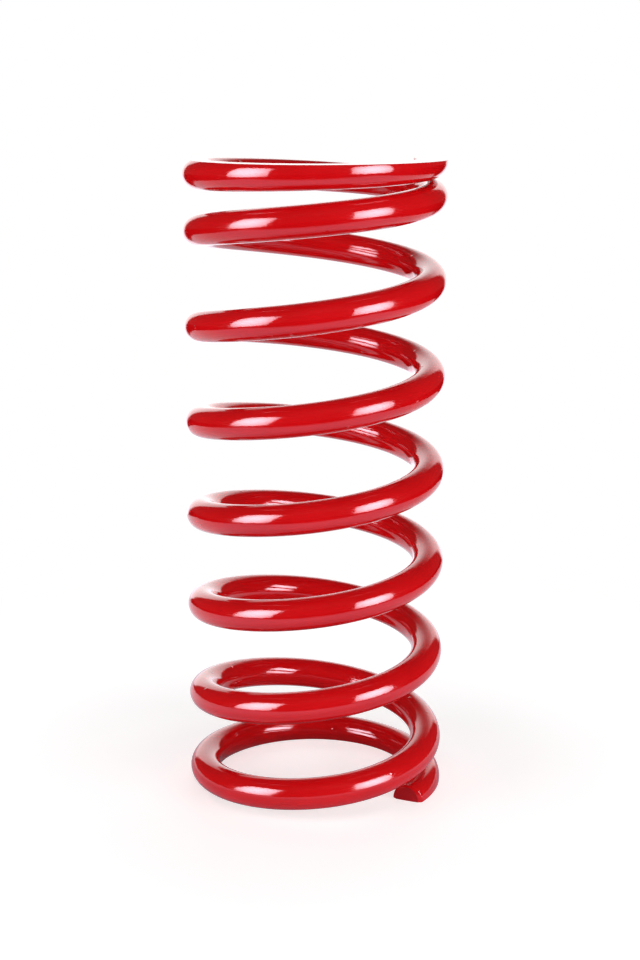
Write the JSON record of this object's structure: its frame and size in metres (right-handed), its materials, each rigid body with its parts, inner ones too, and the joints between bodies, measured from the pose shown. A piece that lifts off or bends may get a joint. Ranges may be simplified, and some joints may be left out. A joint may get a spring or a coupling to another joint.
{
  "type": "helical compression spring",
  "caption": "Right-hand coil spring of round wire with closed, ground ends and a glossy red powder coat, made to be pressed between two flat spring seats.",
  "frame": {"origin": "middle of the coil in the plane of the lower ground face", "axes": "+Z along the coil's axis, upward; -Y is the front, with the lower tip at the front right"},
  "size_m": [0.0814, 0.0814, 0.2],
  "materials": {
    "red_coat": "glossy red powder coat over spring steel"
  },
  "bodies": {
    "root": {"coil_spring": "red_coat"}
  },
  "joints": []
}
